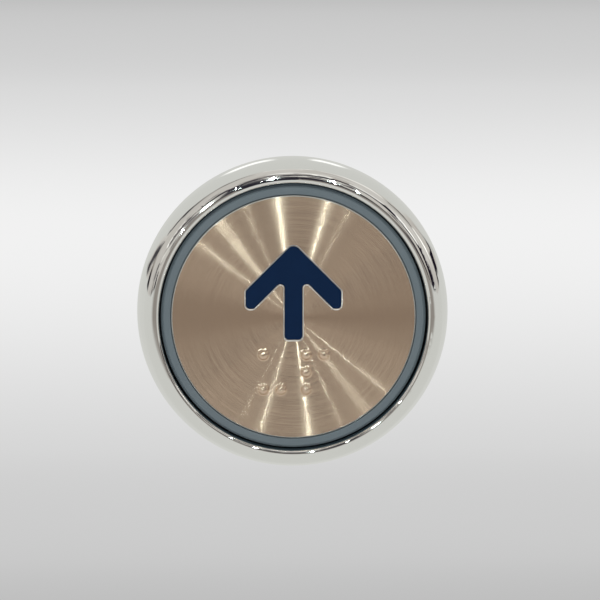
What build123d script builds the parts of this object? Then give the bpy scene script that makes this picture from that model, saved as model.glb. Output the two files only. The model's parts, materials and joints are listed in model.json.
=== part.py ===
from build123d import *
import math
import os

os.makedirs("parts", exist_ok=True)

# An illuminated round call button for a panel, in millimetres. Its axis is the Y axis,
# its face looks towards -Y, and its arrow points to +Z. The origin is the centre of the
# bezel's seat on the panel. A depth is a Y value, so it is negative in front of the
# panel and positive behind it. A radius is measured from the button's axis.

# ---- the front ----
bezel_r = 22.5            # outside of the bezel at the panel
crown_depth = -8.5        # foremost line of the bezel
opening_r = 19.1          # inside edge of the bezel
lip_round = 0.5           # from the inside edge to the crown
foot_depth = -0.6         # end of the flank, just above the panel
foot_chamfer = 0.35
plate_r = 17.35           # steel face plate
plate_front = -7.8
plate_t = 1.0
film_t = 0.15             # adhesive film behind the plate
film_inset = 0.3          # film's edges, inside the plate's and outside the insert's
rim_front = -7.5          # lit ring round the plate
rim_r = 18.64
rim_bevel = 0.2
ledge_r = 18.85           # step at the foot of the lit ring's edge
ledge_front = -6.75
groove_w = 0.15           # hairline between the plate and the lit ring

# ---- the moving cap ----
travel = 1.4              # how far the cap can be pressed
web_rear = -5.2           # back of the light guide's web
tube_in_r = 12.6          # light guide's tube
tube_out_r = 14.0
tube_rear = 6.5
inner_r = 12.3            # insert, diffuser and carrier, inside the light guide
insert_t = 0.9
insert_recess = 0.2       # the arrow's face lies this far behind the plate's
insert_gap = 0.07
diffuser_t = 0.5
slide_gap = 0.08          # running clearance round the moving tube
overlap = 0.1             # how far a rib reaches into the wall that it stands on
hook_r = 15.0
hook_front = 5.04         # catch face of the hooks, just behind the housing's guide
hook_w = 5.0
hook_count = 3
hook_start = 30
slit_w = 0.8
slit_front = -1.0
slit_depth = 4            # across the tube's wall, with room to spare
key_r = 15.0
key_w = 2.0
key_gap = 0.1             # clearance round a key
carrier_wall = 1.1
carrier_rear = 4.0
rib_w = 1.2
hub_r = 5.6
hub_front = -2.4
hub_rear = -0.9
spring_pilot_r = 4.3
spring_pilot_rear = 1.6
stem_r = 1.7

# ---- the housing ----
flange_r = 20.8
flange_front = -3.6
press_gap = 0.08          # between the flange and the bezel pressed over it
bead_height = 0.25        # bead inside the bezel that snaps behind the flange
bead_depths = (-0.95, -0.8, -0.6, -0.45)
gasket_in_r = 18.2
gasket_out_r = 20.5
gasket_t = 1.0
pilot_r = 18.0            # plain stretch that centres the barrel in the panel
pilot_length = 2.4
relief_r = 17.7
crest_r = 17.75           # thread
root_r = 17.1
pitch = 1.5
thread_start = 3.2
thread_turns = 9
root_to = 0.25            # a pitch starts at the root, and leaves it here
crest_from = 0.7          # where the crest starts and ends within a pitch
crest_to = 1.05
guide_rear = 5.0
bore_r = 15.3
rear_bore_r = 16.1
barrel_rear = 17.9
boss_pcd_r = 14.2
boss_r = 2.2
boss_start = 90
boss_count = 3
boss_root = 2.4           # length of the web between a boss and the wall

# ---- the nut that clamps the panel ----
panel_t = 2.5
washer_in_r = 18.3
washer_out_r = 21.4
washer_t = 0.8
nut_t = 6.0
nut_r = 20.3
nut_flange_r = 21.2
nut_flange_t = 1.4
nut_bore_r = 17.85
nut_root_r = 18.4
nut_thread_start = 0.8    # first groove, from the nut's front
nut_thread_turns = 3
nut_root_from = 0.45      # where a groove's bottom starts and ends within a pitch
nut_root_to = 0.7
nut_bore_from = 1.15      # where the bore goes on
nut_bevel = 0.5
scallop_count = 20
scallop_r = 1.0
scallop_out = 0.45        # centre of a scallop, outside the nut's edge

# ---- board, switch, lamps and connector ----
board_front = 11.0
board_t = 1.6
board_r = 16.0
notch_gap = 0.25          # board and cover round the bosses
pin_hole_r = 0.5
leg_hole_r = 0.45
lamp_w = 3.5
lamp_h = 2.8
lamp_t = 1.9
lamp_window_r = 1.1
lamp_window_depth = 0.3
ring_lamp_r = 13.3
ring_lamp_count = 6
arrow_lamp_r = 8.2
arrow_lamp_count = 4
shroud_in_r = 10.9
shroud_out_r = 11.7
shroud_front = 6.0
switch_w = 6.2
switch_front = 7.4
switch_corner = 0.5
switch_floor = 0.5        # thickness left behind the plunger's well
plunger_r = 1.66
plunger_hole_r = 1.74
plunger_front = 4.9
plunger_clearance = 0.1   # left behind the plunger when it is pressed in
plunger_rear = board_front - travel - switch_floor - plunger_clearance
plunger_bevel = 0.2
leg_w = 0.7
leg_t = 0.3
leg_front = 8.8           # foremost point of a leg, inside the switch's body
leg_length = 1.0          # behind the board
spring_r = 4.9
spring_wire_r = 0.3
spring_turns = 5.5
touch_gap = 0.02          # between faces of different bodies that meet at rest
terminal_x = 3.3
terminal_z = 2.25
header_z = -8.0
header_w = 12.4
header_h = 5.75
header_rear = 20.1
header_floor = 2.0
header_wall = 0.75
latch_w = 1.4             # slots in the header's lower wall for the plug's latches
pin_pitch = 2.5
pin_count = 4
pin_w = 0.64
pin_gap = 0.02
pin_front = 10.0
pin_rear = 18.8
pin_bevel = 0.15
resistor_size = (1.6, 3.2)
resistor_t = 0.55
resistor_places = [(-7.5, 3.5), (-4.5, 6.5), (4.5, 6.5), (7.5, 3.5)]
diode_size = (4.3, 2.6)
diode_t = 2.2
diode_z = 7.0
diode_bevel = 0.3
cover_front = 18.0
cover_rear = 20.0
cover_r = 17.1
cover_bevel = 0.5
spigot_gap = 0.1          # between the cover's spigot and the rear bore
spigot_r = rear_bore_r - spigot_gap
spigot_in_r = 15.0
notch_length = 6.6        # of the spigot's notches, right across its wall
header_gap = 0.2          # round the header in the cover's window
screw_r = 1.0
screw_head_r = 2.0
screw_head_t = 1.3
head_round = 0.5
screw_seat = 1.0          # counterbore in the cover
screw_gap = 0.15          # round the shank in the cover
seat_gap = 0.25           # round the head in the counterbore
thread_gap = 0.05         # round the shank in a boss
screw_front = 13.6
cross_length = 2.0
cross_w = 0.45
cross_depth = 0.8

plate_rear = plate_front + plate_t
web_front = plate_rear + film_t
insert_rear = plate_rear + insert_t
diffuser_rear = insert_rear + diffuser_t
board_rear = board_front + board_t
washer_rear = panel_t + washer_t
nut_rear = washer_rear + nut_t


def facing(depth):
    """The plane at a depth that faces the front: local x is +X and local y is +Z."""
    return Plane.XZ.offset(-depth)


def section(*points):
    """A closed outline of (radius, depth) points, ready to turn about the axis."""
    with BuildSketch(Plane.XY) as outline:
        with BuildLine():
            Polyline(*points, close=True)
        make_face()
    return outline.sketch


def ring(inner, outer, front, rear):
    """The section of a plain ring, tube or disc."""
    return section((inner, front), (outer, front), (outer, rear), (inner, rear))


def save(piece, name):
    """Label a finished piece and write its STEP file."""
    piece.label = name
    export_step(piece, f"parts/{name}.step")


# ---- bezel: rolls over its crown, then sweeps out and down to the panel ----
# Each stretch of the roll is an arc: its radius, and the lean of the surface at its end,
# which is 0 degrees facing the front and 90 degrees facing outwards.
roll = [(1.4, 45), (3.0, 70)]
socket_r = flange_r + press_gap
bead_r = socket_r - bead_height


def along_arc(start, radius, lean, turned):
    """The point reached from start on an arc whose surface leans by lean, then turned."""
    first, last = math.radians(lean), math.radians(turned)
    return (
        start[0] + radius * (math.sin(last) - math.sin(first)),
        start[1] + radius * (math.cos(first) - math.cos(last)),
    )


with BuildPart() as bezel:
    with BuildSketch(Plane.XY):
        with BuildLine():
            inside = (opening_r, crown_depth + lip_round)
            point = (opening_r + lip_round, crown_depth)
            Line((opening_r, flange_front), inside)
            ThreePointArc(inside, along_arc(point, lip_round, 0, -45), point)
            lean = 0
            for radius, turned in roll:
                middle = along_arc(point, radius, lean, (lean + turned) / 2)
                end = along_arc(point, radius, lean, turned)
                ThreePointArc(point, middle, end)
                point, lean = end, turned
            downhill = (math.cos(math.radians(lean)), math.sin(math.radians(lean)))
            TangentArc(point, (bezel_r, foot_depth), tangent=downhill)
            Polyline(
                (bezel_r, foot_depth),
                (bezel_r, -foot_chamfer),
                (bezel_r - foot_chamfer, 0),
                (socket_r, 0),
                (socket_r, bead_depths[3]),
                (bead_r, bead_depths[2]),
                (bead_r, bead_depths[1]),
                (socket_r, bead_depths[0]),
                (socket_r, flange_front),
                (opening_r, flange_front),
            )
        make_face()
    revolve(axis=Axis.Y)
save(bezel.part, "bezel")

# ---- face plate: steel disc with a cut-out arrow and raised reading dots ----
arrow_half_w = 6.8
arrow_apex = 10.6         # where the outer edges of the arms would meet
arrow_inner_apex = 6.85   # where the inner edges would meet
arrow_arm_foot = 1.2
arrow_stem_half = 1.28
arrow_stem_foot = -3.25
arrow_corner = 0.6
arrow_tip_round = 1.05
plate_edge = 0.15
arrow_edge = 0.17

dot_pitch = 2.5
dot_r = 0.8
dot_height = 0.5
dot_foot = 0.25
dot_top = -3.8            # every dot lies below this height, and the arrow above it
left_cell = (-4.3, -5.35)  # upper left dot of each cell
right_cell = (1.8, -5.35)
left_dots = [(0, 0), (0, 2), (1, 2)]
right_dots = [(0, 0), (0, 1), (0, 2), (1, 0)]


def arrow(inset):
    """The arrow's outline seen from the front, drawn in by inset all round."""
    right = [
        (arrow_half_w, arrow_apex - arrow_half_w),
        (arrow_half_w, arrow_arm_foot),
        (arrow_inner_apex - arrow_arm_foot, arrow_arm_foot),
        (arrow_stem_half, arrow_inner_apex - arrow_stem_half),
        (arrow_stem_half, arrow_stem_foot),
    ]
    left = [(-x, z) for x, z in reversed(right)]
    with BuildSketch() as outline:
        with BuildLine():
            Polyline((0, arrow_apex), *right, *left, close=True)
        make_face()
        ends = outline.vertices().sort_by(Axis.Y)
        fillet(ends[:-1], arrow_corner)
        fillet(outline.vertices().sort_by(Axis.Y)[-1], arrow_tip_round)
        if inset:
            offset(amount=-inset, mode=Mode.REPLACE)
    return outline.sketch


def dot_places(cell, dots):
    """Places of a cell's dots, as columns to the right and rows down from its corner."""
    return [(cell[0] + c * dot_pitch, cell[1] - r * dot_pitch) for c, r in dots]


dots = dot_places(left_cell, left_dots) + dot_places(right_cell, right_dots)
dot_sphere_r = (dot_r**2 + dot_height**2) / (2 * dot_height)

with BuildPart() as face_plate:
    with BuildSketch(facing(plate_rear)):
        Circle(plate_r)
    extrude(amount=plate_t)
    chamfer(face_plate.edges().filter_by(GeomType.CIRCLE).sort_by(Axis.Y)[0], plate_edge)
    with Locations(facing(plate_front - dot_height + dot_sphere_r)):
        with Locations(dots):
            Sphere(dot_sphere_r)
    feet = face_plate.edges().filter_by(GeomType.CIRCLE)
    fillet(feet.filter_by(lambda e: abs(e.radius - dot_r) < 0.01), dot_foot)
    split(bisect_by=facing(plate_rear), keep=Keep.TOP)
    with BuildSketch(facing(plate_rear)):
        add(arrow(0))
    extrude(amount=plate_t, mode=Mode.SUBTRACT)
    rims = face_plate.edges().filter_by_position(Axis.Y, plate_front - 0.01, plate_front + 0.01)
    chamfer(rims.filter_by(lambda e: e.length < plate_r and e.center().Z > dot_top), arrow_edge)
save(face_plate.part, "face_plate")

# ---- adhesive film: holds the plate to the light guide ----
with BuildPart() as adhesive_film:
    film = ring(inner_r + film_inset, plate_r - film_inset, plate_rear, web_front)
    revolve(film, axis=Axis.Y)
save(adhesive_film.part, "adhesive_film")

# ---- arrow insert: fills the plate's cut-out from behind ----
with BuildPart() as arrow_insert:
    with BuildSketch(facing(insert_rear)):
        Circle(inner_r)
    extrude(amount=insert_t)
    with BuildSketch(facing(plate_rear)):
        add(arrow(insert_gap))
    extrude(amount=plate_t - insert_recess)
save(arrow_insert.part, "arrow_insert")

# ---- diffuser: milky disc behind the insert ----
with BuildPart() as diffuser:
    revolve(ring(0, inner_r, insert_rear, diffuser_rear), axis=Axis.Y)
save(diffuser.part, "diffuser")

# ---- light guide: the lit ring, the web behind the plate and the tube that slides ----
with BuildPart() as light_guide:
    rim_in_r = plate_r + groove_w
    profile = section(
        (rim_in_r, rim_front),
        (rim_r - rim_bevel, rim_front),
        (rim_r, rim_front + rim_bevel),
        (rim_r, ledge_front),
        (ledge_r, ledge_front),
        (ledge_r, web_rear),
        (tube_out_r, web_rear),
        (tube_out_r, tube_rear),
        (tube_in_r, tube_rear),
        (tube_in_r, web_front),
        (rim_in_r, web_front),
    )
    revolve(profile, axis=Axis.Y)
    # hooks that catch behind the housing's guide
    with BuildSketch(facing(tube_rear)):
        with PolarLocations(tube_out_r, hook_count, start_angle=hook_start):
            Rectangle(2 * (hook_r - tube_out_r), hook_w)
        Circle(hook_r, mode=Mode.INTERSECT)
        Circle(tube_out_r - overlap, mode=Mode.SUBTRACT)
    extrude(amount=tube_rear - hook_front)
    # slits that let the hooks spring in
    with BuildSketch(facing(tube_rear)):
        with PolarLocations(tube_out_r, hook_count, start_angle=hook_start):
            with Locations((0, (hook_w + slit_w) / 2), (0, -(hook_w + slit_w) / 2)):
                Rectangle(slit_depth, slit_w)
    extrude(amount=tube_rear - slit_front, mode=Mode.SUBTRACT)
    # two keys that stop the cap from turning
    with BuildSketch(facing(carrier_rear)):
        Rectangle(2 * key_r, key_w)
        Circle(tube_out_r - overlap, mode=Mode.SUBTRACT)
    extrude(amount=carrier_rear - web_rear)
save(light_guide.part, "light_guide")

# ---- cap carrier: holds insert and diffuser, carries the spring and the stem ----
with BuildPart() as cap_carrier:
    revolve(ring(inner_r - carrier_wall, inner_r, diffuser_rear, carrier_rear), axis=Axis.Y)
    with BuildSketch(facing(hub_rear)):
        Rectangle(2 * inner_r - carrier_wall, rib_w)
        Rectangle(rib_w, 2 * inner_r - carrier_wall)
        Circle(hub_r)
    extrude(amount=hub_rear - hub_front)
    with BuildSketch(facing(spring_pilot_rear)):
        Circle(spring_pilot_r)
    extrude(amount=spring_pilot_rear - hub_rear)
    with BuildSketch(facing(plunger_front - touch_gap)):
        Circle(stem_r)
    extrude(amount=plunger_front - touch_gap - spring_pilot_rear)
save(cap_carrier.part, "cap_carrier")

# ---- housing: flange, guide for the cap, threaded barrel and bosses for the cover ----
thread = []
for turn in range(thread_turns):
    start = thread_start + turn * pitch
    thread += [(root_r, start), (root_r, start + root_to)]
    thread += [(crest_r, start + crest_from), (crest_r, start + crest_to)]
thread_end = thread_start + thread_turns * pitch

with BuildPart() as housing:
    body = section(
        (tube_out_r + slide_gap, flange_front),
        (flange_r, flange_front),
        (flange_r, -gasket_t),
        (relief_r, -gasket_t),
        (relief_r, 0),
        (pilot_r, 0),
        (pilot_r, pilot_length),
        *thread,
        (root_r, thread_end),
        (root_r, barrel_rear),
        (rear_bore_r, barrel_rear),
        (rear_bore_r, board_front),
        (bore_r, board_front),
        (bore_r, guide_rear),
        (tube_out_r + slide_gap, guide_rear),
    )
    revolve(body, axis=Axis.Y)
    # grooves for the cap's keys
    with BuildSketch(facing(guide_rear)):
        Rectangle(2 * (key_r + key_gap), key_w + 2 * key_gap)
    extrude(amount=guide_rear - flange_front, mode=Mode.SUBTRACT)
    # bosses for the cover's screws
    with BuildSketch(facing(barrel_rear)):
        with PolarLocations(boss_pcd_r, boss_count, start_angle=boss_start):
            Circle(boss_r)
            with Locations((boss_root / 2, 0)):
                Rectangle(boss_root, 2 * boss_r)
        Circle(rear_bore_r + overlap, mode=Mode.INTERSECT)
    extrude(amount=barrel_rear - board_front)
    with BuildSketch(facing(barrel_rear)):
        with PolarLocations(boss_pcd_r, boss_count, start_angle=boss_start):
            Circle(screw_r + thread_gap)
    extrude(amount=barrel_rear - board_rear, mode=Mode.SUBTRACT)
save(housing.part, "housing")

# ---- panel gasket: under the housing's flange ----
with BuildPart() as panel_gasket:
    revolve(ring(gasket_in_r, gasket_out_r, -gasket_t, 0), axis=Axis.Y)
save(panel_gasket.part, "panel_gasket")

# ---- washer and ring nut: clamp the panel from behind ----
with BuildPart() as nut_washer:
    revolve(ring(washer_in_r, washer_out_r, panel_t, washer_rear), axis=Axis.Y)
save(nut_washer.part, "nut_washer")

nut_thread = []
for turn in range(nut_thread_turns):
    start = washer_rear + nut_thread_start + turn * pitch
    nut_thread += [(nut_bore_r, start), (nut_root_r, start + nut_root_from)]
    nut_thread += [(nut_root_r, start + nut_root_to), (nut_bore_r, start + nut_bore_from)]

with BuildPart() as ring_nut:
    nut_body = section(
        (nut_bore_r, washer_rear),
        (nut_flange_r, washer_rear),
        (nut_flange_r, washer_rear + nut_flange_t),
        (nut_r, washer_rear + nut_flange_t),
        (nut_r, nut_rear - nut_bevel),
        (nut_r - nut_bevel, nut_rear),
        (nut_bore_r + nut_bevel, nut_rear),
        (nut_bore_r, nut_rear - nut_bevel),
        *reversed(nut_thread),
    )
    revolve(nut_body, axis=Axis.Y)
    with BuildSketch(facing(nut_rear)):
        with PolarLocations(nut_r + scallop_out, scallop_count):
            Circle(scallop_r)
    extrude(amount=nut_rear - washer_rear - nut_flange_t, mode=Mode.SUBTRACT)
save(ring_nut.part, "ring_nut")

# ---- circuit board: round, notched round the bosses ----
pin_xs = [(i - (pin_count - 1) / 2) * pin_pitch for i in range(pin_count)]
terminals = [(x, z) for x in (-terminal_x, terminal_x) for z in (-terminal_z, terminal_z)]

with BuildPart() as circuit_board:
    with BuildSketch(facing(board_rear)):
        Circle(board_r)
        with PolarLocations(boss_pcd_r, boss_count, start_angle=boss_start):
            Circle(boss_r + notch_gap, mode=Mode.SUBTRACT)
            with Locations((boss_root / 2, 0)):
                Rectangle(boss_root, 2 * (boss_r + notch_gap), mode=Mode.SUBTRACT)
        with Locations([(x, header_z) for x in pin_xs]):
            Circle(pin_hole_r, mode=Mode.SUBTRACT)
        with Locations(terminals):
            Circle(leg_hole_r, mode=Mode.SUBTRACT)
    extrude(amount=board_t)
save(circuit_board.part, "circuit_board")


def lamps(radius, count, start):
    """A circle of surface-mount lamps on the front of the board, each with a lit window."""
    with BuildPart() as group:
        with BuildSketch(facing(board_front)):
            with PolarLocations(radius, count, start_angle=start):
                Rectangle(lamp_h, lamp_w)
        extrude(amount=lamp_t)
        with BuildSketch(facing(board_front - lamp_t + lamp_window_depth)):
            with PolarLocations(radius, count, start_angle=start):
                Circle(lamp_window_r)
        extrude(amount=lamp_window_depth, mode=Mode.SUBTRACT)
    return group.part


save(lamps(ring_lamp_r, ring_lamp_count, 0), "ring_lamps")
save(lamps(arrow_lamp_r, arrow_lamp_count, 45), "arrow_lamps")

# ---- light shroud: keeps the arrow's light apart from the ring's ----
with BuildPart() as light_shroud:
    revolve(ring(shroud_in_r, shroud_out_r, shroud_front, board_front), axis=Axis.Y)
save(light_shroud.part, "light_shroud")

# ---- switch: square body, round plunger and four legs through the board ----
with BuildPart() as switch_body:
    with BuildSketch(facing(board_front)):
        Rectangle(switch_w, switch_w)
    extrude(amount=board_front - switch_front)
    chamfer(switch_body.edges().filter_by(Axis.Y), switch_corner)
    with BuildSketch(facing(board_front - switch_floor)):
        Circle(plunger_hole_r)
    extrude(amount=board_front - switch_floor - switch_front, mode=Mode.SUBTRACT)
save(switch_body.part, "switch_body")

with BuildPart() as switch_plunger:
    with BuildSketch(facing(plunger_rear)):
        Circle(plunger_r)
    extrude(amount=plunger_rear - plunger_front)
    front_edge = switch_plunger.edges().filter_by(GeomType.CIRCLE).sort_by(Axis.Y)[0]
    chamfer(front_edge, plunger_bevel)
save(switch_plunger.part, "switch_plunger")

with BuildPart() as switch_legs:
    with BuildSketch(facing(board_rear + leg_length)):
        with Locations(terminals):
            Rectangle(leg_t, leg_w)
    extrude(amount=board_rear + leg_length - leg_front)
save(switch_legs.part, "switch_legs")

# ---- return spring: between the board and the carrier's hub ----
spring_front = hub_rear + spring_wire_r + touch_gap
spring_rear = board_front - spring_wire_r - touch_gap
spring_length = spring_rear - spring_front

with BuildPart() as return_spring:
    with BuildLine() as coil:
        Helix(
            pitch=spring_length / spring_turns,
            height=spring_length,
            radius=spring_r,
            center=(0, spring_front, 0),
            direction=(0, 1, 0),
        )
    with BuildSketch(Plane(coil.line @ 0, z_dir=coil.line % 0)):
        Circle(spring_wire_r)
    sweep(path=coil.line, is_frenet=True)
save(return_spring.part, "return_spring")

# ---- connector: four-way board header that stands out through the cover ----
with BuildPart() as connector_shell:
    with BuildSketch(facing(header_rear)):
        with Locations((0, header_z)):
            Rectangle(header_w, header_h)
    extrude(amount=header_rear - board_rear)
    with BuildSketch(facing(header_rear)):
        with Locations((0, header_z)):
            Rectangle(header_w - 2 * header_wall, header_h - 2 * header_wall)
        with Locations([(x, header_z - header_h / 2) for x in (-pin_pitch, pin_pitch)]):
            Rectangle(latch_w, 2 * header_wall)
    extrude(amount=header_rear - board_rear - header_floor, mode=Mode.SUBTRACT)
    with BuildSketch(facing(header_rear)):
        with Locations([(x, header_z) for x in pin_xs]):
            Rectangle(pin_w + pin_gap, pin_w + pin_gap)
    extrude(amount=header_rear - board_rear, mode=Mode.SUBTRACT)
save(connector_shell.part, "connector_shell")

with BuildPart() as connector_pins:
    with BuildSketch(facing(pin_rear)):
        with Locations([(x, header_z) for x in pin_xs]):
            Rectangle(pin_w, pin_w)
    extrude(amount=pin_rear - pin_front)
    chamfer(connector_pins.faces().sort_by(Axis.Y)[-pin_count:].edges(), pin_bevel)
save(connector_pins.part, "connector_pins")

# ---- resistors and diode on the back of the board ----
with BuildPart() as resistors:
    with BuildSketch(facing(board_rear + resistor_t)):
        with Locations(resistor_places):
            Rectangle(*resistor_size)
    extrude(amount=resistor_t)
save(resistors.part, "resistors")

with BuildPart() as diode:
    with BuildSketch(facing(board_rear + diode_t)):
        with Locations((0, diode_z)):
            Rectangle(*diode_size)
    extrude(amount=diode_t)
    chamfer(diode.edges().group_by(Axis.Y)[-1], diode_bevel)
save(diode.part, "diode")

# ---- rear cover: closes the barrel and clamps the board ----
with BuildPart() as rear_cover:
    revolve(ring(0, cover_r, cover_front, cover_rear), axis=Axis.Y)
    rear_edge = rear_cover.edges().filter_by(GeomType.CIRCLE).sort_by(Axis.Y)[-1]
    chamfer(rear_edge, cover_bevel)
    with BuildSketch(facing(cover_front)):
        Circle(spigot_r)
        Circle(spigot_in_r, mode=Mode.SUBTRACT)
        with PolarLocations(boss_pcd_r, boss_count, start_angle=boss_start):
            Rectangle(notch_length, 2 * (boss_r + notch_gap), mode=Mode.SUBTRACT)
    extrude(amount=cover_front - board_rear)
    with BuildSketch(facing(cover_rear)):
        with Locations((0, header_z)):
            Rectangle(header_w + 2 * header_gap, header_h + 2 * header_gap)
        with PolarLocations(boss_pcd_r, boss_count, start_angle=boss_start):
            Circle(screw_r + screw_gap)
    extrude(amount=cover_rear - cover_front, mode=Mode.SUBTRACT)
    with BuildSketch(facing(cover_rear)):
        with PolarLocations(boss_pcd_r, boss_count, start_angle=boss_start):
            Circle(screw_head_r + seat_gap)
    extrude(amount=screw_seat, mode=Mode.SUBTRACT)
save(rear_cover.part, "rear_cover")

# ---- cover screws: round heads with a cross recess ----
head_front = cover_rear - screw_seat
with BuildPart() as cover_screws:
    with BuildSketch(facing(head_front + screw_head_t)):
        with PolarLocations(boss_pcd_r, boss_count, start_angle=boss_start):
            Circle(screw_head_r)
    extrude(amount=screw_head_t)
    fillet(cover_screws.edges().group_by(Axis.Y)[-1], head_round)
    with BuildSketch(facing(head_front)):
        with PolarLocations(boss_pcd_r, boss_count, start_angle=boss_start):
            Circle(screw_r)
    extrude(amount=head_front - screw_front)
    with BuildSketch(facing(head_front + screw_head_t)):
        with PolarLocations(boss_pcd_r, boss_count, start_angle=boss_start):
            Rectangle(cross_length, cross_w)
            Rectangle(cross_w, cross_length)
    extrude(amount=cross_depth, mode=Mode.SUBTRACT)
save(cover_screws.part, "cover_screws")
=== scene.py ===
import json
import math

import bmesh
import bpy
from mathutils import Matrix, Vector


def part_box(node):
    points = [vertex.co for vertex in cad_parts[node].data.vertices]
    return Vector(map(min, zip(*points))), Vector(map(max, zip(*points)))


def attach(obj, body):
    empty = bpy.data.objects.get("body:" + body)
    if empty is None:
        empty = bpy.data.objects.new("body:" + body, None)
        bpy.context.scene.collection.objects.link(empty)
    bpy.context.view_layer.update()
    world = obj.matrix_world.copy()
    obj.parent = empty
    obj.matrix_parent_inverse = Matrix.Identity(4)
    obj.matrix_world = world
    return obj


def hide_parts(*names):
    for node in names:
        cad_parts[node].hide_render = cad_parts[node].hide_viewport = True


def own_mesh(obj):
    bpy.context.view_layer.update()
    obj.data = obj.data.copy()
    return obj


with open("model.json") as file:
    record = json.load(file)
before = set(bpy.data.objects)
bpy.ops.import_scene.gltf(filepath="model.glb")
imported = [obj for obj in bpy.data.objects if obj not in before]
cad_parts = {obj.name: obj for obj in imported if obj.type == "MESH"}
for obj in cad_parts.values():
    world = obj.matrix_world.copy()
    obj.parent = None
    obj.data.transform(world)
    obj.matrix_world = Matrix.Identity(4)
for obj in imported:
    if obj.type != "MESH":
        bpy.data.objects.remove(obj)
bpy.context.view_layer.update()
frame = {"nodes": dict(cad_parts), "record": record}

# The look of a round illuminated call button. Metres, in the frame's own axes: the button's
# axis is Y, its face looks towards -Y, and up is +Z. A depth is a Y value, a radius is
# measured from the axis, and a clock angle runs clockwise from up, seen from the front.

MM = 0.001


# ---------------------------------------------------------------- materials


class Graph:
    """Short ways to add nodes to a node tree."""

    def __init__(self, tree, place):
        self.tree = tree
        self.place = self.node("ShaderNodeTexCoord").outputs[place]

    def node(self, kind, sources=(), **settings):
        made = self.tree.nodes.new(kind)
        for key, value in settings.items():
            setattr(made, key, value)
        for index, source in enumerate(sources):
            self.feed(made.inputs[index], source)
        return made

    def feed(self, socket, source):
        if isinstance(source, bpy.types.NodeSocket):
            self.tree.links.new(source, socket)
        elif source is not None:
            socket.default_value = source

    def math(self, operation, *sources):
        return self.node("ShaderNodeMath", sources, operation=operation).outputs[0]

    def product(self, first, *others):
        for other in others:
            first = self.math("MULTIPLY", first, other)
        return first

    def vector(self, operation, *sources):
        return self.node("ShaderNodeVectorMath", sources, operation=operation).outputs[0]

    def convert(self, vector, kind, start, end):
        """Carry a vector from one space to another."""
        settings = {"vector_type": kind, "convert_from": start, "convert_to": end}
        return self.node("ShaderNodeVectorTransform", (vector,), **settings).outputs[0]

    def axes(self):
        """The place's three coordinates."""
        return self.node("ShaderNodeSeparateXYZ", (self.place,)).outputs

    def noise(self, scale, detail=2.0, place=None, rough=0.5):
        made = self.node("ShaderNodeTexNoise")
        self.feed(made.inputs["Vector"], place or self.place)
        made.inputs["Scale"].default_value = scale
        made.inputs["Detail"].default_value = detail
        made.inputs["Roughness"].default_value = rough
        return made.outputs["Fac"]

    def between(self, value, low, high, start=0.3, end=0.7, kind="LINEAR"):
        """Map start..end of a value to low..high."""
        sources = (value, start, end, low, high)
        return self.node("ShaderNodeMapRange", sources, interpolation_type=kind).outputs["Result"]

    def rise(self, value, start, end):
        """0 up to start and 1 from end on, smoothly."""
        return self.between(value, 0, 1, start, end, "SMOOTHSTEP")

    def near(self, value, middle, inner, outer):
        """1 within inner of a middle value and 0 beyond outer, smoothly."""
        distance = self.math("ABSOLUTE", self.math("SUBTRACT", value, middle))
        return self.between(distance, 1, 0, inner, outer, "SMOOTHSTEP")

    def cells(self, scale, place, channel):
        """Flat cells, each with a value of its own."""
        made = self.node("ShaderNodeTexVoronoi", (place,), distance="MANHATTAN")
        made.inputs["Scale"].default_value = scale
        return self.node("ShaderNodeSeparateXYZ", (made.outputs["Color"],)).outputs[channel]

    def blend(self, factor, first, second):
        """Mix two colours."""
        made = self.node("ShaderNodeMix", data_type="RGBA")
        for socket, source in zip((0, 6, 7), (factor, first, second)):
            self.feed(made.inputs[socket], source)
        return made.outputs[2]

    def ramp(self, value, stops, kind="LINEAR"):
        """Colours along a value, as (position, colour) pairs."""
        made = self.node("ShaderNodeValToRGB", (value,))
        made.color_ramp.interpolation = kind
        while len(made.color_ramp.elements) < len(stops):
            made.color_ramp.elements.new(0.5)
        for element, (position, colour) in zip(made.color_ramp.elements, stops):
            element.position = position
            element.color = colour
        return made.outputs[0]


class Finish(Graph):
    """A material with one Principled shader, in the object's own coordinates."""

    def __init__(self, name, **values):
        self.material = bpy.data.materials.new(name)
        self.material.use_nodes = True
        super().__init__(self.material.node_tree, "Object")
        self.shader = self.tree.nodes["Principled BSDF"]
        for key, value in values.items():
            self.shader.inputs[key.replace("_", " ")].default_value = value

    def set(self, socket, source):
        self.feed(self.shader.inputs[socket], source)

    def bump(self, height, distance, strength=1.0):
        made = self.node("ShaderNodeBump")
        made.inputs["Strength"].default_value = strength
        made.inputs["Distance"].default_value = distance
        self.feed(made.inputs["Height"], height)
        self.set("Normal", made.outputs["Normal"])


def grey(value):
    return (value, value, value, 1.0)


def chrome():
    f = Finish("chrome_plate", Metallic=1.0)
    drift = f.noise(90, 3)
    f.set("Base Color", f.blend(drift, (0.82, 0.82, 0.80, 1), (0.88, 0.88, 0.865, 1)))
    f.set("Roughness", f.between(f.noise(700, 4), 0.02, 0.06))
    f.bump(f.noise(260, 2), 0.00003, 0.6)
    return f.material


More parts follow.
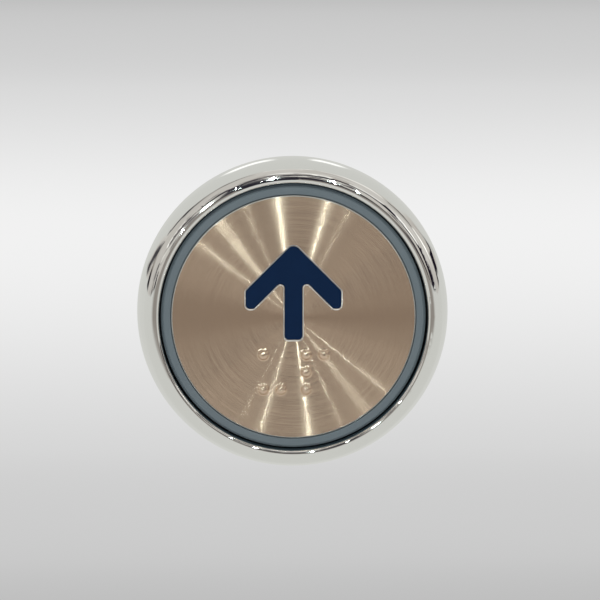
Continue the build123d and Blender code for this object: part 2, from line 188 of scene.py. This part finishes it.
def spun_steel():
    """Stainless steel brushed in circles about the button's axis."""
    f = Finish("spun_steel", Metallic=1.0, Anisotropic=1.0, Anisotropic_Rotation=0.25)
    axes = f.axes()
    across, up = axes["X"], axes["Z"]
    squares = f.math("ADD", f.math("MULTIPLY", across, across), f.math("MULTIPLY", up, up))
    radius = f.math("SQRT", squares)
    turn = f.math("ARCTAN2", up, across)

    def rings(per_metre, layer):
        """Noise that changes quickly across the brush marks and slowly along them."""
        place = f.node("ShaderNodeCombineXYZ", (f.math("MULTIPLY", radius, per_metre), turn, layer))
        return f.noise(1.0, 3, place.outputs[0], 0.7)

    fine = rings(240000.0, 0.0)
    coarse = rings(9000.0, 2.0)
    broad = rings(1500.0, 4.0)
    normal = f.node("ShaderNodeNewGeometry").outputs["Normal"]
    own = f.convert(normal, "NORMAL", "WORLD", "OBJECT")
    facing = f.math("ABSOLUTE", f.node("ShaderNodeSeparateXYZ", (own,)).outputs["Y"])
    # only the flat face is brushed, and the dots' domes are polished
    flat = f.rise(facing, 0.95, 0.99)
    both = f.math("ADD", f.math("MULTIPLY", coarse, 0.6), f.math("MULTIPLY", broad, 0.4))
    brushed = f.blend(f.between(both, 0, 1), (0.685, 0.53, 0.405, 1), (0.71, 0.55, 0.42, 1))
    # the cut edges, at 45 degrees round the rim and the arrow, are painted paler: a painted highlight
    # along the plate's rim and the arrow's outline
    slant = 0.7071
    rim_from, rim_to = 0.0168, 0.017
    arrow_from, arrow_to = -0.0041, -0.0040
    slanting = f.between(f.math("ABSOLUTE", f.math("SUBTRACT", facing, slant)), 1, 0, 0.01, 0.02)
    on_rim = f.between(radius, 0, 1, rim_from, rim_to)
    in_arrow = f.between(up, 0, 1, arrow_from, arrow_to)
    painted_edge_highlight = f.math("MULTIPLY", slanting, f.math("MAXIMUM", on_rim, in_arrow))
    f.set("Base Color", f.blend(painted_edge_highlight, brushed, (0.93, 0.90, 0.86, 1)))
    f.set("Roughness", f.math("MULTIPLY", f.between(fine, 0.15, 0.2), f.between(flat, 1.1, 1, 0, 1)))
    f.set("Tangent", f.node("ShaderNodeTangent", direction_type="RADIAL", axis="Y").outputs[0])
    # each brush mark leans the surface in or out, never along the mark
    lean = f.math("ADD", f.between(fine, -1.3, 1.3, 0, 1), f.between(coarse, -0.004, 0.004, 0, 1))
    outward = f.vector("NORMALIZE", f.node("ShaderNodeCombineXYZ", (across, 0.0, up)).outputs[0])
    sideways = f.node("ShaderNodeVectorMath", (outward,), operation="SCALE")
    f.feed(sideways.inputs["Scale"], f.math("MULTIPLY", lean, flat))
    turned = f.convert(sideways.outputs[0], "VECTOR", "OBJECT", "WORLD")
    f.set("Normal", f.vector("NORMALIZE", f.vector("ADD", normal, turned)))
    return f.material


def navy_plastic():
    f = Finish("navy_plastic", Specular_IOR_Level=0.09)
    drift = f.noise(400, 4)
    f.set("Base Color", f.blend(drift, (0.0032, 0.0165, 0.056, 1), (0.0044, 0.021, 0.070, 1)))
    f.set("Roughness", f.between(f.noise(2500, 3), 0.4, 0.5))
    f.bump(f.noise(3000, 2), 0.00001, 0.3)
    return f.material


def ring_with_painted_glow():
    # painted glow: a faint emission stands in for light scattered through the translucent plastic, and
    # lifts the shade in the gap round the ring
    f = Finish("light_guide", IOR=1.45, Specular_IOR_Level=0.35, Emission_Strength=0.12)
    f.shader.inputs["Emission Color"].default_value = (0.10, 0.16, 0.20, 1)
    drift = f.noise(250, 3)
    f.set("Base Color", f.blend(drift, (0.150, 0.172, 0.194, 1), (0.176, 0.202, 0.222, 1)))
    f.set("Roughness", f.between(f.noise(1800, 3), 0.35, 0.45))
    f.bump(f.noise(2500, 2), 0.00001, 0.2)
    return f.material


def moulded(name, dark, light, low, high, grain=4500, depth=0.00003, **values):
    """Moulded plastic or rubber with a fine grain."""
    f = Finish(name, **values)
    f.set("Base Color", f.blend(f.noise(300, 4), (*dark, 1), (*light, 1)))
    f.set("Roughness", f.between(f.noise(1500, 3), low, high))
    f.bump(f.noise(grain, 3), depth, 0.4)
    return f.material


def bare_metal(name, dark, light, low, high):
    """Plated or drawn metal with faint drifts and scratches."""
    f = Finish(name, Metallic=1.0)
    f.set("Base Color", f.blend(f.noise(500, 5), (*dark, 1), (*light, 1)))
    f.set("Roughness", f.between(f.noise(2200, 4), low, high))
    f.bump(f.noise(3500, 3), 0.00001, 0.3)
    return f.material


looks = {
    "chrome": chrome(),
    "spun_steel": spun_steel(),
    "navy_plastic": navy_plastic(),
    "light_guide": ring_with_painted_glow(),
    "adhesive": moulded("adhesive", (0.75, 0.75, 0.72), (0.85, 0.85, 0.82), 0.5, 0.6),
    "milky_plastic": moulded("milky_plastic", (0.8, 0.82, 0.82), (0.9, 0.9, 0.9), 0.35, 0.45),
    "white_plastic": moulded("white_plastic", (0.78, 0.78, 0.75), (0.85, 0.85, 0.82), 0.4, 0.55),
    "black_plastic": moulded("black_plastic", (0.012, 0.012, 0.013), (0.022, 0.022, 0.023), 0.42, 0.58),
    "nut_plastic": moulded("nut_plastic", (0.016, 0.016, 0.017), (0.028, 0.028, 0.03), 0.38, 0.52),
    "gasket_rubber": moulded("gasket_rubber", (0.02, 0.02, 0.02), (0.035, 0.035, 0.034), 0.65, 0.8),
    "zinc_steel": bare_metal("zinc_steel", (0.55, 0.55, 0.54), (0.68, 0.68, 0.66), 0.25, 0.42),
    "board_green": moulded("board_green", (0.008, 0.09, 0.035), (0.012, 0.13, 0.05), 0.22, 0.34),
    "lamp_white": moulded("lamp_white", (0.8, 0.78, 0.6), (0.88, 0.86, 0.7), 0.3, 0.4),
    "tinned_pin": bare_metal("tinned_pin", (0.62, 0.61, 0.57), (0.75, 0.74, 0.7), 0.22, 0.38),
    "spring_steel": bare_metal("spring_steel", (0.4, 0.4, 0.4), (0.55, 0.55, 0.54), 0.25, 0.4),
    "header_white": moulded("header_white", (0.7, 0.68, 0.6), (0.78, 0.76, 0.68), 0.38, 0.5),
    "resistor_black": moulded("resistor_black", (0.02, 0.02, 0.02), (0.035, 0.035, 0.035), 0.3, 0.45),
}
for entry in frame["record"]["subparts"]:
    node = frame["nodes"][entry["node"]]
    node.material_slots[0].material = looks[entry["material_slot"]]


# ---------------------------------------------------------------- pieces

# dimensions in millimetres that a node's box doesn't give
bevel = 0.2               # on the housing and the nut
flange_rear = -1.0        # the housing's flange, where the gasket starts
relief_radius = 17.7
pilot_radius = 18.0       # plain stretch that centres the barrel in the panel
pilot_rear = 2.4
guide_radius = 14.08
guide_rear = 5.0
key_groove_radius = 15.1
key_groove_half = 1.1
bore_radius = 15.3
rear_bore_radius = 16.1
boss_places = [math.radians(90 + 120 * i) for i in range(3)]
boss_circle = 14.2
boss_radius = 2.2
boss_mouth_radius = 1.25
boss_hole_radius = 1.05

pitch = 1.5               # of the threads
thread_start = 3.2
thread_end = 16.7
thread_root = 17.1
thread_crest = 17.75
thread_corners = [(0.0, 0), (0.25, 0), (0.7, 1), (1.05, 1)]   # along one pitch, and how far up

nut_crest = 17.85
nut_groove = 18.4
nut_flange_thickness = 1.4
nut_body_radius = 20.3
nut_mouth = 0.5           # bevels at the nut's rear
scallop_count = 20
scallop_centre = 20.75
scallop_radius = 1.0

gasket_inner = 18.2
gasket_corner = 0.1
rib_insets = (0.55, 1.4)  # middles of the sealing ribs, from the gasket's outer edge
rib_radius = 0.3

spring_radius = 4.9
wire_radius = 0.3
closed_turns = 1.0        # at each end of the spring
active_turns = 4.5

pin_pitch = 2.5
pins_up = -8.0
legs_across = (-3.3, 3.3)
legs_up = (-2.25, 2.25)
fillet_radii = (0.85, 0.8, 0.55, 0.42, 0.36)
fillet_rises = (0, 0.08, 0.25, 0.45, 0.62)

ring_lamps = (13.3, 6, 0)       # circle, count and first angle
arrow_lamps = (8.2, 4, 45)
window_depths = (0.28, 0.16, 0.08, 0.04, 0.03)
window_radii = (1.08, 1.0, 0.75, 0.4, 0.1)

resistor_places = ((-7.5, 3.5), (-4.5, 6.5), (4.5, 6.5), (7.5, 3.5))
resistor_half_width = 0.8
resistor_half_length = 1.6
cap_length = 0.5          # of a resistor's tinned end
cap_skin = 0.04
cap_bevel = 0.06

mark_foot = 0.05          # how far the moulded marks reach into the rear cover
mark_side = 0.07          # their height at the sides and at the top
mark_top = 0.12
gate_place = (0, 6.0)
gate_radii = (0.9, 0.9, 0.75)
ejector_places = ((-8.7, 5.0), (8.7, 5.0), (0, -1.5))
ejector_outer = 1.5
ejector_middle = 1.42
ejector_inner = 1.33
pin_one_corners = ((-8.3, -7.3), (-8.3, -8.7), (-7.2, -8.0))


def in_mm(node):
    """A node's foremost depth, rearmost depth and outer radius, in millimetres."""
    low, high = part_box(node)
    return tuple(round(value / MM, 4) for value in (low[1], high[1], high[0]))


board_front, board_rear = in_mm("circuit_board")[:2]


def point(radius, angle, depth, centre=(0, 0)):
    """A place at a radius and angle about a centre (across, up), and at a depth."""
    across = centre[0] + radius * math.cos(angle)
    up = centre[1] + radius * math.sin(angle)
    return Vector((across, depth, up)) * MM


def join_rings(bm, rings):
    """Faces between each closed ring of points and the next."""
    for ring, following in zip(rings, rings[1:]):
        for i, j in zip(range(len(ring)), [*range(1, len(ring)), 0]):
            bm.faces.new((ring[i], ring[j], following[j], following[i]))


def lathe(bm, outline, angles, centre=(0, 0)):
    """Turn an outline about the Y axis. outline(angle) gives its (radius, depth) points."""
    rings = []
    for angle in angles:
        places = [point(radius, angle, depth, centre) for radius, depth in outline(angle)]
        rings.append([bm.verts.new(place) for place in places])
    join_rings(bm, rings)


def round_about(count, extra=()):
    """Angles once round and back to the start, with any extra ones between them."""
    whole = 2 * math.pi
    return sorted([i * whole / count for i in range(count)] + [a % whole for a in extra]) + [whole]


def piece(name, bm, body, slot, *nodes, sharp=30):
    """Finish a mesh as a piece that rides on a body and stands for some CAD nodes."""
    bmesh.ops.remove_doubles(bm, verts=bm.verts, dist=0.0005 * MM)
    bmesh.ops.dissolve_degenerate(bm, edges=bm.edges, dist=0.0005 * MM)
    bmesh.ops.recalc_face_normals(bm, faces=bm.faces)
    mesh = bpy.data.meshes.new(name)
    bm.to_mesh(mesh)
    bm.free()
    mesh.shade_smooth()
    mesh.set_sharp_from_angle(angle=math.radians(sharp))
    mesh.materials.append(looks[slot])
    made = bpy.data.objects.new(name, mesh)
    bpy.context.scene.collection.objects.link(made)
    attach(made, body)
    if nodes:
        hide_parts(*nodes)
    return made


def helix(angle, start, end, low, high):
    """Points of a thread's outline at an angle, running out to nothing at both ends."""
    points = []
    for turn in range(-1, math.ceil((end - start) / pitch) + 1):
        for along, height in thread_corners:
            depth = start + (turn + angle / (2 * math.pi)) * pitch + along
            fade = min(1, max(0, depth - start) / pitch, max(0, end - depth) / pitch)
            points.append((low + (high - low) * height * fade, min(max(depth, start), end)))
    return points


def housing():
    """Flange, pilot, barrel with a helical thread, key grooves and screw bosses."""
    front, rear, flange = in_mm("housing")
    groove = math.asin(key_groove_half / guide_radius)

    def outline(angle):
        away = min(angle % math.pi, math.pi - angle % math.pi)
        guide = key_groove_radius if away < groove else guide_radius
        return [
            (guide, front),
            (flange - bevel, front),
            (flange, front + bevel),
            (flange, flange_rear),
            (relief_radius, flange_rear),
            (relief_radius, 0),
            (pilot_radius - bevel, 0),
            (pilot_radius, bevel),
            (pilot_radius, pilot_rear - bevel),
            (pilot_radius - bevel, pilot_rear),
            (thread_root, pilot_rear + bevel),
            *helix(angle, thread_start, thread_end, thread_root, thread_crest),
            (thread_root, rear - bevel),
            (thread_root - bevel, rear),
            (rear_bore_radius, rear),
            (rear_bore_radius, board_front),
            (bore_radius, board_front),
            (bore_radius, guide_rear),
            (guide, guide_rear),
        ]

    boss = [
        (0, board_front),
        (boss_radius, board_front),
        (boss_radius, rear),
        (boss_mouth_radius, rear),
        (boss_hole_radius, rear - bevel),
        (boss_hole_radius, board_rear),
        (0, board_rear),
    ]
    bm = bmesh.new()
    step = math.radians(0.02)
    walls = [side + sign * groove for side in (0, math.pi) for sign in (-1, 1)]
    lathe(bm, outline, round_about(180, [wall + nudge for wall in walls for nudge in (-step, step)]))
    for turn in boss_places:
        place = (boss_circle * math.cos(turn), boss_circle * math.sin(turn))
        lathe(bm, lambda angle: boss, round_about(32), place)
    return piece("threaded_housing", bm, "housing", "black_plastic", "housing")


def ring_nut():
    """Flanged plastic nut with scalloped grips and a helical thread in its bore."""
    front, rear, flange = in_mm("ring_nut")
    flange_end = front + nut_flange_thickness
    gap = 2 * math.pi / scallop_count
    squares = scallop_centre**2 + nut_body_radius**2 - scallop_radius**2
    half = math.acos(squares / (2 * scallop_centre * nut_body_radius))

    def grip(angle):
        away = abs((angle + gap / 2) % gap - gap / 2)
        if away >= half:
            return nut_body_radius
        inside = scallop_radius**2 - (scallop_centre * math.sin(away)) ** 2
        return scallop_centre * math.cos(away) - math.sqrt(inside)

    def outline(angle):
        outer = grip(angle)
        thread = helix(angle, front + nut_mouth, rear - nut_mouth, nut_crest, nut_groove)
        return [
            (nut_groove, front),
            (flange - bevel, front),
            (flange, front + bevel),
            (flange, flange_end - bevel),
            (flange - bevel, flange_end),
            (outer, flange_end),
            (outer, rear - nut_mouth),
            (outer - nut_mouth, rear),
            (nut_crest + nut_mouth, rear),
            *reversed(thread),
        ]

    steps = [half * math.sin(math.radians(i * 15)) for i in range(-6, 7)]
    angles = [i * gap + step for i in range(scallop_count) for step in steps]
    bm = bmesh.new()
    lathe(bm, outline, round_about(scallop_count * 6, angles))
    return piece("threaded_ring_nut", bm, "ring_nut", "nut_plastic", "ring_nut")


def gasket():
    """Rubber ring with two sealing ribs towards the panel."""
    front, rear, outer = in_mm("panel_gasket")
    base = rear - rib_radius
    ribs = []
    for inset in rib_insets:
        for turn in range(0, 181, 30):
            lean = math.radians(turn)
            radius = outer - inset + rib_radius * math.cos(lean)
            ribs.append((radius, base + rib_radius * math.sin(lean)))
    points = [
        (gasket_inner, front),
        (outer - gasket_corner, front),
        (outer, front + gasket_corner),
        (outer, base),
        *ribs,
        (gasket_inner, base),
    ]
    bm = bmesh.new()
    lathe(bm, lambda angle: points, round_about(180))
    return piece("ribbed_gasket", bm, "housing", "gasket_rubber", "panel_gasket", sharp=50)


def spring():
    """Compression spring with closed, ground ends."""
    front, rear = in_mm("return_spring")[:2]
    sides, per_turn = 12, 40
    low, high = front + 0.5 * wire_radius, rear - 0.5 * wire_radius
    close = 2 * wire_radius
    free = (high - low - 2 * closed_turns * close) / active_turns
    bm = bmesh.new()
    rings = []
    for i in range(int((2 * closed_turns + active_turns) * per_turn) + 1):
        turn = i / per_turn
        middle = low + min(turn, closed_turns) * close
        middle += min(max(turn - closed_turns, 0), active_turns) * free
        middle += max(turn - closed_turns - active_turns, 0) * close
        ring = []
        for side in range(sides):
            lean = 2 * math.pi * side / sides
            radius = spring_radius + wire_radius * math.cos(lean)
            # the ends are ground flat where the wire would pass them
            depth = min(max(middle + wire_radius * math.sin(lean), front), rear)
            ring.append(bm.verts.new(point(radius, 2 * math.pi * turn, depth)))
        rings.append(ring)
    join_rings(bm, rings)
    bm.faces.new(rings[0])
    bm.faces.new(list(reversed(rings[-1])))
    made = piece("wound_spring", bm, "housing", "spring_steel", "return_spring", sharp=50)
    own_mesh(made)
    return made


def bead(bm, place, depths, radii):
    """A small turned solid at (across, up), through the given depths and radii."""
    points = [(0, depths[0]), *zip(radii, depths), (0, depths[-1])]
    lathe(bm, lambda angle: points, round_about(20), place)


def solder():
    """Solder fillets where the header's pins and the switch's legs come through the board."""
    bm = bmesh.new()
    for pin in (-1.5, -0.5, 0.5, 1.5):
        bead(bm, (pin * pin_pitch, pins_up), [board_front - rise for rise in fillet_rises], fillet_radii)
    for across in legs_across:
        for up in legs_up:
            bead(bm, (across, up), [board_rear + rise for rise in fillet_rises], fillet_radii)
    return piece("solder_joints", bm, "housing", "tinned_pin")


def lamp_windows():
    """Shallow domes of resin in the lamps' windows."""
    front = in_mm("ring_lamps")[0]
    depths = [front + depth for depth in window_depths]
    bm = bmesh.new()
    for circle, count, first in (ring_lamps, arrow_lamps):
        for i in range(count):
            angle = math.radians(first + 360 / count * i)
            bead(bm, (circle * math.cos(angle), circle * math.sin(angle)), depths, window_radii)
    return piece("lamp_windows", bm, "housing", "milky_plastic", sharp=60)


def resistor_ends():
    """Tinned caps on both ends of each chip resistor."""
    rear = in_mm("resistors")[1]
    width = 2 * resistor_half_width + 2 * cap_skin
    size = Vector((width, rear - board_rear + 2 * cap_skin, cap_length + 2 * cap_skin))
    bm = bmesh.new()
    for across, up in resistor_places:
        for end in (-1, 1):
            cap_up = up + end * (resistor_half_length - cap_length / 2)
            middle = Vector((across, (board_rear + rear) / 2, cap_up))
            for vert in bmesh.ops.create_cube(bm, size=1)["verts"]:
                vert.co = (middle + Vector(a * b for a, b in zip(vert.co, size))) * MM
    bmesh.ops.bevel(
        bm, geom=bm.edges[:], offset=cap_bevel * MM, segments=2, affect="EDGES", profile=0.5
    )
    return piece("resistor_ends", bm, "housing", "tinned_pin")


def cover_marks():
    """Moulded marks on the rear cover: the gate, the ejectors' rings and a pin-one arrow."""
    rear = in_mm("rear_cover")[1]
    foot, low, high = rear - mark_foot, rear + mark_side, rear + mark_top
    bm = bmesh.new()
    bead(bm, gate_place, [foot, low, high], gate_radii)
    ring = [
        (ejector_outer, foot),
        (ejector_outer, low),
        (ejector_middle, high),
        (ejector_inner, low),
        (ejector_inner, foot),
    ]
    for place in ejector_places:
        lathe(bm, lambda angle: ring, round_about(40), place)
    ends = []
    for depth in (foot, high):
        ends.append([bm.verts.new(Vector((across, depth, up)) * MM) for across, up in pin_one_corners])
        bm.faces.new(ends[-1])
    join_rings(bm, ends)
    return piece("cover_marks", bm, "housing", "black_plastic")


housing()
ring_nut()
gasket()
cover_marks()
spring()
solder()
lamp_windows()
resistor_ends()


# ---------------------------------------------------------------- camera

view_elevation = math.radians(7)
view_azimuth = math.radians(-1.4)
view_distance = 0.33
plate_inset = 0.5 * MM    # from the plate's foremost point, its dots, to its face
plate_centre = Vector((0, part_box("face_plate")[0][1] + plate_inset, 0))
aim = plate_centre + Vector((0.91, 0, 2.5)) * MM    # the plate sits a little low and left
towards_camera = Vector(
    (
        math.cos(view_elevation) * math.sin(view_azimuth),
        -math.cos(view_elevation) * math.cos(view_azimuth),
        math.sin(view_elevation),
    )
)

camera = bpy.data.objects.new("camera", bpy.data.cameras.new("camera"))
camera.data.sensor_width = 36
camera.data.lens = 139.6
camera.location = aim + towards_camera * view_distance
camera.rotation_mode = "QUATERNION"
camera.rotation_quaternion = (-towards_camera).to_track_quat("-Z", "Y")
camera.data.clip_start = 0.01
camera.data.clip_end = 20
bpy.context.scene.collection.objects.link(camera)
bpy.context.scene.camera = camera


# ---------------------------------------------------------------- stage and light

wall_depth = 0.95
floor_height = -0.5
stage_half = 4.0


def sheet_mesh(name, corners, material):
    """A flat stage sheet that lights the object and shows behind it, but not in its chrome."""
    mesh = bpy.data.meshes.new(name)
    mesh.from_pydata(corners, [], [tuple(range(len(corners)))])
    mesh.materials.append(material)
    sheet = bpy.data.objects.new(name, mesh)
    sheet.visible_glossy = False
    bpy.context.scene.collection.objects.link(sheet)
    return sheet


def backdrop():
    """A pale wall that glows with painted light: brightest level with the object and greyer above and
    below.
    """
    material = bpy.data.materials.new("backdrop")
    material.use_nodes = True
    material.node_tree.nodes.clear()
    g = Graph(material.node_tree, "Object")
    height = g.between(g.axes()["Z"], 0, 1, floor_height, 0.44)
    # painted light: these steps of brightness up the wall stand in for lamplight falling on it
    stops = [(0.0, 0.72), (0.1, 0.62), (0.195, 0.50), (0.213, 0.50), (0.252, 0.58), (0.319, 0.67)]
    stops += [(0.449, 0.88), (0.536, 0.69), (0.579, 0.57), (0.606, 0.47), (0.72, 0.70), (1.0, 0.74)]
    tones = g.ramp(height, [(position, grey(value)) for position, value in stops], "CARDINAL")
    glow = g.node("ShaderNodeEmission", (tones,))
    g.node("ShaderNodeOutputMaterial", (glow.outputs[0],))
    return material


def floor_finish():
    f = Finish("floor", Roughness=0.8, Emission_Strength=0.25)
    f.shader.inputs["Emission Color"].default_value = grey(1.0)
    f.set("Base Color", f.blend(f.noise(3, 3), grey(0.78), grey(0.82)))
    return f.material


sheet_mesh(
    "wall",
    [
        (-stage_half, wall_depth, floor_height),
        (stage_half, wall_depth, floor_height),
        (stage_half, wall_depth, stage_half),
        (-stage_half, wall_depth, stage_half),
    ],
    backdrop(),
)
sheet_mesh(
    "floor",
    [
        (-stage_half, -stage_half, floor_height),
        (stage_half, -stage_half, floor_height),
        (stage_half, wall_depth, floor_height),
        (-stage_half, wall_depth, floor_height),
    ],
    floor_finish(),
)


def room_shapes(g, axes):
    """Crisp flat shapes, warped a little, for what stands and hangs in the room."""
    half = (0.5, 0.5, 0.5)
    warp = g.node("ShaderNodeTexNoise", (g.place,))
    warp.inputs["Scale"].default_value = 2.0
    centred = g.vector("SUBTRACT", warp.outputs["Color"], half)
    bent = g.vector("ADD", g.place, g.vector("MULTIPLY", centred, half))
    # darker straight ahead and low down
    ahead = g.between(axes["Y"], 0.0, 0.30, -0.1, -0.95)
    low = g.between(axes["Z"], 0.42, 0.0, 0.03, 0.32)
    tones = g.ramp(
        g.math("SUBTRACT", g.math("SUBTRACT", g.cells(3.4, bent, "X"), ahead), low),
        [
            (0.0, (0.012, 0.010, 0.018, 1)),
            (0.10, (0.03, 0.026, 0.03, 1)),
            (0.16, (0.30, 0.27, 0.24, 1)),
            (0.30, (0.56, 0.53, 0.49, 1)),
            (0.75, (0.68, 0.66, 0.62, 1)),
            (0.90, (1.5, 1.5, 1.45, 1)),
        ],
    )
    # small dark things among them, only ahead
    things = g.between(g.cells(8.0, bent, "Y"), 0.85, 0, 0.34, 0.36)
    things = g.math("MULTIPLY", things, g.between(axes["Y"], 1, 0, -0.4, -0.2))
    tones = g.blend(things, tones, (0.05, 0.042, 0.055, 1))
    # a calmer band overhead
    overhead = g.math("ABSOLUTE", g.math("SUBTRACT", axes["Y"], 0.15))
    calm = g.between(overhead, 0.9, 0, 0.25, 0.42, "SMOOTHSTEP")
    return g.blend(calm, tones, (0.60, 0.575, 0.54, 1))


def studio():
    """Pale all round, with a busier room ahead and above that shows only in reflections."""
    world = bpy.data.worlds.new("studio")
    world.use_nodes = True
    g = Graph(world.node_tree, "Generated")
    axes = g.axes()
    above = g.rise(axes["Z"], 0.02, 0.05)
    # the pale backdrop reaches up from behind, as far as a slanting, ragged edge
    edge = g.math("ADD", axes["Y"], g.math("MULTIPLY", axes["Z"], 0.55))
    wobble = g.math("MULTIPLY", g.math("SUBTRACT", g.noise(3.0, 3), 0.5), 0.3)
    ragged = g.math("ADD", edge, wobble)
    room = g.math("MULTIPLY", above, g.math("SUBTRACT", 1.0, g.rise(ragged, 0.92, 0.97)))
    lit = g.blend(room, (0.66, 0.665, 0.635, 1), room_shapes(g, axes))
    # two soft lamps high on the backdrop
    behind = g.between(axes["Y"], 0, 1, 0.3, 0.5)
    lamps = g.math("ADD", g.near(axes["X"], -0.12, 0.05, 0.1), g.near(axes["X"], 0.13, 0.03, 0.07))
    lamps = g.product(behind, g.near(axes["Z"], 0.34, 0.03, 0.07), lamps)
    lit = g.blend(lamps, lit, (1.2, 1.2, 1.17, 1))
    # a dimmer stretch straight ahead, level with the object, kept off the sides higher up
    front = g.rise(axes["Y"], -0.6, -0.9)
    sides = g.rise(g.math("ABSOLUTE", axes["X"]), 0.2, 0.35)
    kept = g.math("SUBTRACT", 1.0, g.math("MULTIPLY", sides, above))
    dim = g.product(front, g.near(axes["Z"], 0.0, 0.12, 0.3), kept)
    lit = g.blend(dim, lit, (0.30, 0.275, 0.25, 1))
    # a dark opening above that, and a dark outline along the backdrop's left edge
    height = g.near(g.math("ADD", axes["Z"], wobble), 0.38, 0.17, 0.2)
    opening = g.product(front, height, g.near(axes["X"], -0.04, 0.22, 0.3))
    left = g.between(axes["X"], 1, 0, -0.4, -0.2, "SMOOTHSTEP")
    outline = g.product(g.near(ragged, 0.88, 0.02, 0.05), left, room)
    dark = g.math("MULTIPLY", g.math("MAXIMUM", opening, outline), 0.92)
    reflected = g.blend(dark, lit, (0.02, 0.018, 0.028, 1))
    seen = g.node("ShaderNodeLightPath").outputs["Is Camera Ray"]
    shown = g.blend(seen, reflected, (0.74, 0.74, 0.74, 1))
    g.feed(world.node_tree.nodes["Background"].inputs[0], shown)
    bpy.context.scene.world = world


studio()


lamp_colour = (0.84, 1.0, 0.98)
lamp_distance = 0.7


def strip_light(clock, lean, width, length, power):
    """A narrow lamp whose streak on the spun plate lies at a clock angle.

    The lamp stands where a groove leaning by `lean` degrees would mirror it to the camera.
    """
    turn = math.radians(clock)
    tilt = math.radians(lean)
    radial = Vector((math.sin(turn), 0, math.cos(turn)))
    half_way = radial * math.sin(tilt) + Vector((0, -1, 0)) * math.cos(tilt)
    direction = 2 * towards_camera.dot(half_way) * half_way - towards_camera
    data = bpy.data.lights.new(f"strip_{clock}", "AREA")
    data.shape = "RECTANGLE"
    data.size = width
    data.size_y = length
    data.energy = power
    data.color = lamp_colour
    lamp = bpy.data.objects.new(data.name, data)
    across = direction.cross(radial).normalized()
    along = across.cross(direction).normalized()
    facing_object = Matrix((across, along, direction)).transposed().to_4x4()
    lamp.matrix_world = Matrix.Translation(plate_centre + direction * lamp_distance) @ facing_object
    bpy.context.scene.collection.objects.link(lamp)


# clock angle, lean, width, length and power
for strip in [
    (-8, 21, 0.009, 0.30, 0.46),
    (16, 22, 0.006, 0.30, 0.42),
    (-24, 22, 0.004, 0.22, 0.16),
    (-38, 21, 0.040, 0.20, 0.34),
    (-52, 21, 0.004, 0.20, 0.15),
    (27, 21, 0.004, 0.20, 0.09),
]:
    strip_light(*strip)

bpy.context.scene.view_settings.view_transform = "Standard"
